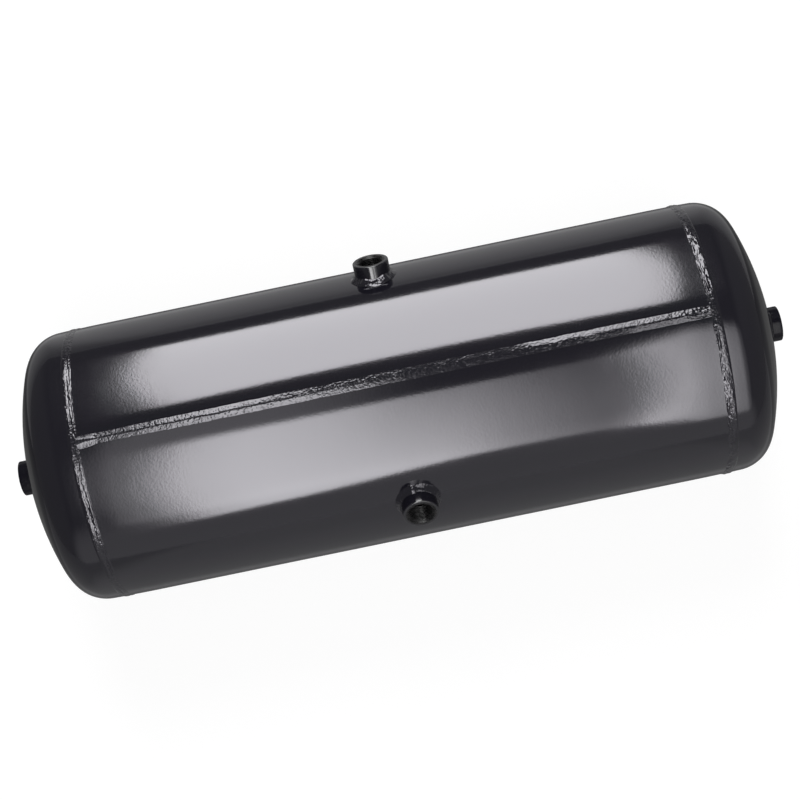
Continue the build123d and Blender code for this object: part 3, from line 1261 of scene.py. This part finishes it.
def fillet_ring(port, angle, seed):
    """The closed section of a fillet at one angle, as points in the port's own frame."""
    along = angle * (boss_radius + fillet_leg / 2)
    leg = fillet_leg * (0.91 + 0.08 * closing_share(angle) * wander(along, 0.008, seed))
    heap = heap_share(port, angle)
    inner = -port.drop(boss_radius * math.cos(angle), boss_radius * math.sin(angle))
    outer_radius = boss_radius + leg
    outer = -port.drop(outer_radius * math.cos(angle), outer_radius * math.sin(angle))
    crest = inner + leg + heap_climb * heap
    top, toe = Vector((boss_radius, crest)), Vector((outer_radius, outer))
    out = Vector((toe.y - top.y, top.x - toe.x)).normalized() * -1
    section = []
    for across in np.linspace(-1, 1, fillet_face):
        raised = fillet_relief * fillet_share(along, across, seed + 2)
        swell = raised + (heap_swell * heap - fillet_hollow) * (1 - across ** 2)
        section.append(top.lerp(toe, (across + 1) / 2) + out * (swell * millimetre))
    section.append(Vector((outer_radius - toe_overlap, outer - fillet_sunk)))
    section.append(Vector((boss_radius - boss_overlap, inner - fillet_sunk)))
    section.append(Vector((boss_radius - boss_overlap, crest)))
    return [Vector((s.x * math.cos(angle), s.x * math.sin(angle), s.y)) for s in section]


def make_fillet(port, seed):
    """A fillet weld in the port's own frame, then placed on the vessel."""
    place = port.place()
    angles = [one_turn * k / fillet_steps for k in range(fillet_steps)]
    rings = [[place @ point for point in fillet_ring(port, angle, seed)] for angle in angles]
    fillet = add_rings("fillet_" + port.side, rings, weld_paint, inside_out=True, sharp_angle=75)
    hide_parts(port.weld)
    return fillet


for number, port in enumerate(ports):
    make_fillet(port, 80 + number)
print(f"fillets: {fillet_steps} sections each")

# %% [markdown]
# ## Floor and room
#
# Gloss black has almost no colour of its own: what is seen on it is the room.  The low sides
# of the vessel show the floor, so the floor's greys are painted light and shade: painted
# shadow under and beside the vessel, lighter strips of painted light beyond it, and painted
# shade past both ends.  The walls of the room are brighter low down and at the ends.  To the
# camera both are white, with the vessel's shadow left on the floor.  A white backdrop with
# more light on it would do that too, but it would also brighten the paint.

# %% Helpers for what the camera sees
def set_stops(ramp, stops):
    """Give a colour ramp its grey stops, as (position, grey)."""
    elements = ramp.color_ramp.elements
    while len(elements) < len(stops):
        elements.new(0.5)
    for element, (position, grey) in zip(elements, stops):
        element.position = position
        element.color = (grey, grey, grey, 1)


def white_to_camera(tree, shown, lit, glossy_share):
    """Mix a lit shader with one of a set brightness, for the rays that show a background."""
    rays = tree.add("LightPath")
    direct = rays.outputs["Is Camera Ray"]
    mirrored = tree.math("MULTIPLY", rays.outputs["Is Glossy Ray"], glossy_share)
    through = tree.math("ADD", direct, rays.outputs["Is Transmission Ray"])
    mix = tree.add("MixShader")
    tree.put(mix.inputs[0], tree.math("ADD", mirrored, through))
    tree.put(mix.inputs[1], lit.outputs[0])
    tree.put(mix.inputs[2], shown.outputs[0])
    return mix.outputs[0]


white = (1, 1, 1, 1)
print(f"the floor will lie at z = {cad_low.z * 1000:.1f} mm")

# %% Lay the floor
floor_half = 1.4
# Grey of the floor's strips, as (place along Y, grey): painted shadow under and beside the vessel,
# and painted light in the lighter strips beyond it.
floor_light_and_shade = [
    (-0.60, 0.28), (-0.20, 0.31), (-0.17, 0.44), (-0.14, 0.17), (0.12, 0.06), (0.17, 0.05),
    (0.205, 0.13), (0.226, 0.50), (0.245, 0.57), (0.28, 0.46), (0.37, 0.44), (0.55, 0.37),
    (1.00, 0.20),
]
floor_glow = 0.86
floor_mirrored = 0.06       # how much of the floor's white the gloss shows, over its greys
shadow_grey = (0.2, 0.2, 0.2, 1)


def make_floor_paint():
    """Painted light and shade in grey strips for the vessel to mirror, and white with a shadow for
    the camera.
    """
    paint = bpy.data.materials.new("pale_floor")
    paint.use_nodes = True
    nodes = paint.node_tree.nodes
    nodes.remove(nodes["Principled BSDF"])
    tree = Tree(paint.node_tree)
    place = tree.add("SeparateXYZ")
    tree.put(place.inputs[0], tree.here)
    first, last = floor_light_and_shade[0][0], floor_light_and_shade[-1][0]
    strips = tree.add("ValToRGB")
    set_stops(strips, [((y - first) / (last - first), grey) for y, grey in floor_light_and_shade])
    from_first = tree.math("SUBTRACT", place.outputs["Y"], first)
    tree.put(strips.inputs["Fac"], tree.math("DIVIDE", from_first, last - first))
    # Painted shade: the floor's greys are darker past both ends of the vessel.
    past_right = tree.stretch(place.outputs["X"], 0.32, 0.42, 1.0, 0.7)
    past_left = tree.stretch(place.outputs["X"], -0.42, -0.32, 0.55, 1.0)
    ends = tree.math("MULTIPLY", past_left, past_right)
    lit = tree.add("BsdfDiffuse")
    tree.put(lit.inputs["Color"], tree.math("MULTIPLY", strips.outputs["Color"], ends))
    glow = tree.add("Emission")
    glow.inputs["Strength"].default_value = floor_glow
    pale = tree.add("BsdfDiffuse")
    pale.inputs["Color"].default_value = shadow_grey
    shown = tree.add("AddShader")
    tree.put(shown.inputs[0], glow.outputs[0])
    tree.put(shown.inputs[1], pale.outputs[0])
    surface = white_to_camera(tree, shown, lit, floor_mirrored)
    tree.put(nodes["Material Output"].inputs["Surface"], surface)
    return paint


floor_mesh = bpy.data.meshes.new("floor")
corners = [(-floor_half, -floor_half), (floor_half, -floor_half)]
corners += [(-x, -y) for x, y in corners]
floor_mesh.from_pydata([(x, y, cad_low.z) for x, y in corners], [], [(0, 1, 2, 3)])
floor = bpy.data.objects.new("floor", floor_mesh)
bpy.context.scene.collection.objects.link(floor)
floor_mesh.materials.append(make_floor_paint())
print(f"floor: {2 * floor_half:.1f} m wide, {len(floor_light_and_shade)} greys across it")

# %% Light the room
room_mirrored = 0.035


def make_room():
    """Faint walls, brighter low down and past both ends, and white for the camera."""
    world = bpy.data.worlds.new("studio")
    world.use_nodes = True
    nodes = world.node_tree.nodes
    tree = Tree(world.node_tree)
    direction = tree.add("SeparateXYZ")
    tree.put(direction.inputs[0], tree.add("TexCoord").outputs["Generated"])
    nearer = tree.stretch(direction.outputs["Y"], -0.97, -0.8, 0.33, 0.055)
    past_right = tree.stretch(direction.outputs["X"], 0.3, 0.6, 0.0, 0.07)
    past_left = tree.stretch(direction.outputs["X"], -0.6, -0.3, 0.04, 0.0)
    beside = tree.math("ADD", past_right, past_left)
    walls = nodes["Background"]
    walls.inputs["Color"].default_value = white
    tree.put(walls.inputs["Strength"], tree.math("ADD", nearer, beside))
    shown = tree.add("Background")
    shown.inputs["Color"].default_value = white
    shown.inputs["Strength"].default_value = 1.0
    surface = white_to_camera(tree, shown, walls, room_mirrored)
    tree.put(nodes["World Output"].inputs["Surface"], surface)
    return world


bpy.context.scene.world = make_room()
print("world:", bpy.context.scene.world.name)

# %% [markdown]
# ## Soft panels
#
# The vessel is lit with two broad soft panels, as a car is in a studio, and a faint third
# one.  One hangs on the far side and one on the near side, and the dark gap between them
# falls on the seam.  Each panel is an area lamp whose brightness fades at its edges, so that
# the bands on the paint end softly.  An area lamp alone ends sharply, so the fade is worked
# out in the lamp's own nodes, from the place on its face.

# %% Helpers for the light of a panel
def fall(tree, place, limit, softness):
    """One below a limit, falling smoothly to nothing above it."""
    past = tree.math("DIVIDE", tree.math("SUBTRACT", place, limit), softness)
    return tree.stretch(past, -0.5, 0.5, 1.0, 0.0)


def level_along(tree, share, ends, stops):
    """A level that changes along a panel, given as (place along X, level) stops."""
    if not stops:
        return 0.0
    top = max(level for _, level in stops)
    ramp = tree.add("ValToRGB")
    set_stops(ramp, [((x - ends[0]) / (ends[1] - ends[0]), level / top) for x, level in stops])
    tree.put(ramp.inputs["Fac"], share)
    return tree.math("MULTIPLY", ramp.outputs["Color"], top)


panel_distance = 2.5
print(f"the panels will hang {panel_distance} m from the vessel's axis")


# %% Make a panel
def place_panel(name, angles, ends, size, radiance):
    """An area lamp that faces the vessel's axis, at angles from straight up."""
    middle = math.radians(sum(angles) / 2)
    lamp = bpy.data.lights.new(name, "AREA")
    lamp.shape = "RECTANGLE"
    lamp.size, lamp.size_y = size
    lamp.energy = 4 * size[0] * size[1] * radiance      # its power is shared out over its face
    panel = bpy.data.objects.new(name, lamp)
    bpy.context.scene.collection.objects.link(panel)
    away = Vector((0, math.sin(middle), math.cos(middle)))
    across = Vector((1, 0, 0))
    turned = Matrix((across, away.cross(across), away)).transposed().to_4x4()
    centre = away * panel_distance + across * sum(ends) / 2
    panel.matrix_world = Matrix.Translation(centre) @ turned
    panel.visible_camera = False
    lamp.use_nodes = True
    return panel


def add_panel(name, angles, ends, radiance, soft_ends, soft_sides, low_edge=(), high_edge=(),
              high_softness=(), profile=(), tilt=(), slant=0):
    """A panel between two angles from straight up and two places along X.

    Each long side is moved outward by what its edge gives along X, in metres, and the
    profile dims the panel along X.  The slant moves the upper part of its right-hand end
    inward."""
    left, right = ends
    side = panel_distance * math.tan(math.radians((angles[1] - angles[0]) / 2))
    shifts = [shift for _, shift in (*low_edge, *high_edge)]
    width = 2 * (side + max([0] + shifts)) + max(soft_sides)
    length = right - left + max(soft_ends)
    limits = ((left + right - length) / 2, (left + right + length) / 2)
    panel = place_panel(name, angles, ends, (length, width), radiance)
    tree = Tree(panel.data.node_tree)
    parts = tree.add("SeparateXYZ")
    tree.put(parts.inputs[0], tree.add("NewGeometry").outputs["Parametric"])
    share = parts.outputs["X"]
    x = tree.math("ADD", tree.math("MULTIPLY", share, length), limits[0])
    y = tree.math("MULTIPLY", tree.math("SUBTRACT", parts.outputs["Y"], 0.5), width)
    low_side = tree.math("ADD", y, level_along(tree, share, limits, low_edge))
    high_side = tree.math("SUBTRACT", y, level_along(tree, share, limits, high_edge))
    slid = tree.math("ADD", x, tree.math("MULTIPLY", y, slant))
    soft_high = soft_sides[1]
    if high_softness:
        soft_high = level_along(tree, share, limits, high_softness)
    shape = fall(tree, tree.math("MULTIPLY", x, -1.0), -left, soft_ends[0])
    for place, limit, softness in (
        (slid, right, soft_ends[1]),
        (tree.math("MULTIPLY", low_side, -1.0), side, soft_sides[0]),
        (high_side, side, soft_high),
    ):
        shape = tree.math("MULTIPLY", shape, fall(tree, place, limit, softness))
    if tilt:
        leaning = tree.math("MULTIPLY", y, level_along(tree, share, limits, tilt))
        shape = tree.math("MULTIPLY", shape, tree.math("SUBTRACT", 1.0, leaning))
    if profile:
        shape = tree.math("MULTIPLY", shape, level_along(tree, share, limits, profile))
    tree.put(panel.data.node_tree.nodes["Emission"].inputs["Strength"], shape)
    print(f"{name}: {length:.2f} m by {width:.2f} m")
    return panel


# %% Hang the soft panels
panel_radiance = 3.9
near_profile = [
    (-0.66, 0.02), (-0.60, 0.35), (-0.555, 0.80), (-0.43, 0.90), (-0.30, 0.88), (-0.165, 0.82),
    (0.0, 0.68), (0.073, 0.61), (0.205, 0.38), (0.338, 0.18), (0.44, 0.115), (0.49, 0.14),
    (0.54, 0.42), (0.576, 0.80), (0.61, 0.77), (0.66, 0.50), (0.72, 0.45), (0.80, 0.33),
    (0.95, 0.20), (1.2, 0.08), (1.6, 0.03),
]
near_outer_edge = [
    (-0.75, 0.55), (-0.568, 0.53), (-0.435, 0.45), (-0.30, 0.40), (-0.168, 0.28), (0.0, 0.10),
    (0.10, 0.03), (0.233, 0.03), (0.366, 0.09), (0.50, 0.17), (0.634, 0.49), (0.76, 0.85),
]
near_inner_edge = [
    (-0.75, 0.16), (-0.568, 0.06), (-0.20, 0.04), (0.0, 0.04), (0.2, 0.0), (0.47, 0.0),
    (0.567, 0.10), (0.634, 0.33), (0.72, 0.54), (0.82, 0.48), (0.95, 0.28), (1.1, 0.08),
]
near_inner_softness = [
    (-0.75, 0.50), (-0.435, 0.38), (-0.2, 0.26), (0.1, 0.16), (0.4, 0.16), (0.57, 0.34),
    (0.66, 0.46), (0.76, 0.80),
]
# How much a metre across the panel, towards its inner side, takes from its brightness.
near_tilt = [
    (-0.6, 0.0), (-0.2, 0.08), (0.0, 0.25), (0.073, 0.30), (0.2, 0.19), (0.34, 0.34),
    (0.47, 0.25), (0.56, 0.06), (0.7, 0.0),
]
far_inner_edge = [(-0.62, 0.14), (-0.3, 0.03), (0.0, 0.0), (0.3, 0.03), (0.62, 0.14)]
add_panel(
    "far_panel", (26.3, 82), (-0.612, 0.635), 1.05 * panel_radiance, (0.01, 0.08), (0.08, 0.08),
    low_edge=far_inner_edge, slant=0.03,
)
add_panel(
    "near_panel", (-65.3, -8.2), (-0.72, 1.6), panel_radiance, (0.05, 0.1), (0.2, 0.34),
    low_edge=near_outer_edge, high_edge=near_inner_edge, high_softness=near_inner_softness,
    profile=near_profile, tilt=near_tilt,
)
add_panel("left_glow", (-66, 10), (-0.80, -0.15), 0.5, (0.16, 0.4), (0.5, 0.6))

# %% [markdown]
# ## Camera
#
# The camera hangs over the vessel, a little to the near side, and is turned so that the
# vessel lies aslant in its view.  A constraint could aim it at the middle, but its roll has
# to be set as well, so its own right and up directions are written as vectors, and the
# third is worked out from them.  The lens is fairly long, which keeps the vessel's two ends
# nearly the same size.

# %% Place the camera
camera = bpy.data.objects.new("camera", bpy.data.cameras.new("camera"))
bpy.context.scene.collection.objects.link(camera)
camera_right = Vector((0.97939834, -0.19638303, -0.04703825))
camera_up = Vector((0.20158101, 0.96461594, 0.16994463))
camera_back = camera_right.cross(camera_up)
camera_place = Vector((0.019438, -0.276533, 1.552444))
turned = Matrix((camera_right, camera_up, camera_back)).transposed().to_4x4()
camera.matrix_world = Matrix.Translation(camera_place) @ turned
camera.data.lens = 78.345
camera.data.sensor_width = 36.0
bpy.context.scene.camera = camera
bpy.context.scene.view_settings.view_transform = "Standard"
print(f"camera {camera_place.length:.2f} m from the vessel's middle")

# %% [markdown]
